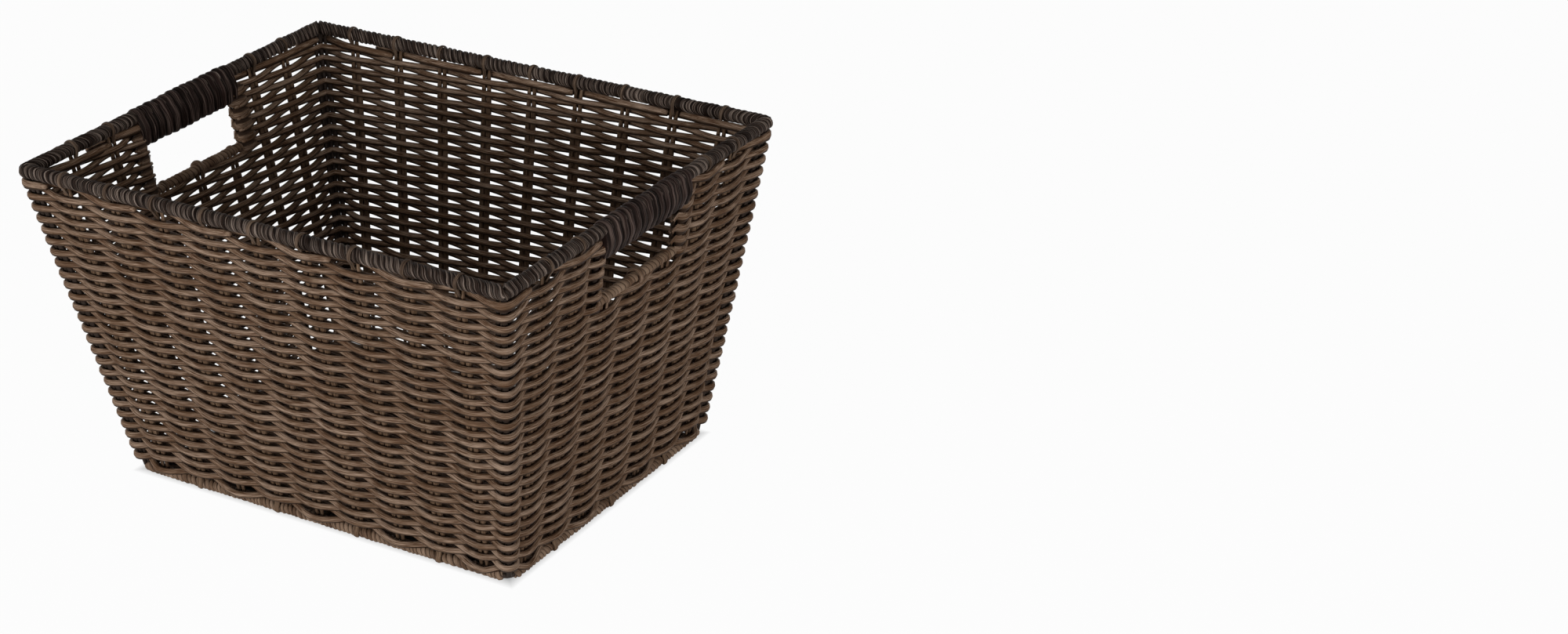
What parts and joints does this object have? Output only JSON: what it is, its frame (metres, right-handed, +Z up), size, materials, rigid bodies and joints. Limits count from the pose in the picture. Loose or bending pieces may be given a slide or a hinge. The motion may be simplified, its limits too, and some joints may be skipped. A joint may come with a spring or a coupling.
{
  "type": "woven laundry basket",
  "caption": "Open rectangular basket with flared woven walls on a wire frame, a wrapped rim and a wound grip over a hand hole in each short wall.",
  "frame": {"origin": "on the floor, under the middle of the base", "axes": "+Z up, +X along the long side towards one hand hole, +Y across the basket"},
  "size_m": [0.4326, 0.345, 0.2595],
  "materials": {
    "woven_strand": "taupe-brown synthetic rattan strand, fine lengthwise grain, satin",
    "stake": "taupe-brown round synthetic cane rods, satin",
    "dark_wrap": "dark brown flat wrapping strand with paler streaks, satin",
    "brown_wrap": "taupe-brown wrapping strand, satin",
    "frame_wire": "dark brown powder-coated steel wire"
  },
  "bodies": {
    "root": {"base_rods": "stake", "base_wire": "frame_wire", "base_wrap": "brown_wrap", "corner_post_back_left": "frame_wire", "corner_post_back_right": "frame_wire", "corner_post_front_left": "frame_wire", "corner_post_front_right": "frame_wire", "grip_bar_left": "frame_wire", "grip_bar_right": "frame_wire", "grip_winding_left": "dark_wrap", "grip_winding_right": "dark_wrap", "handle_frame_left": "frame_wire", "handle_frame_right": "frame_wire", "rim_wire": "frame_wire", "rim_wrap_back": "dark_wrap", "rim_wrap_corner_back_left": "dark_wrap", "rim_wrap_corner_back_right": "dark_wrap", "rim_wrap_corner_front_left": "dark_wrap", "rim_wrap_corner_front_right": "dark_wrap", "rim_wrap_front": "dark_wrap", "rim_wrap_left_back": "dark_wrap", "rim_wrap_left_front": "dark_wrap", "rim_wrap_right_back": "dark_wrap", "rim_wrap_right_front": "dark_wrap", "sill_wrap_left": "brown_wrap", "sill_wrap_right": "brown_wrap", "stakes_back": "stake", "stakes_front": "stake", "stakes_left": "stake", "stakes_right": "stake", "woven_back": "woven_strand", "woven_base": "woven_strand", "woven_front": "woven_strand", "woven_left_back": "woven_strand", "woven_left_front": "woven_strand", "woven_left_lower": "woven_strand", "woven_right_back": "woven_strand", "woven_right_front": "woven_strand", "woven_right_lower": "woven_strand"}
  },
  "joints": []
}
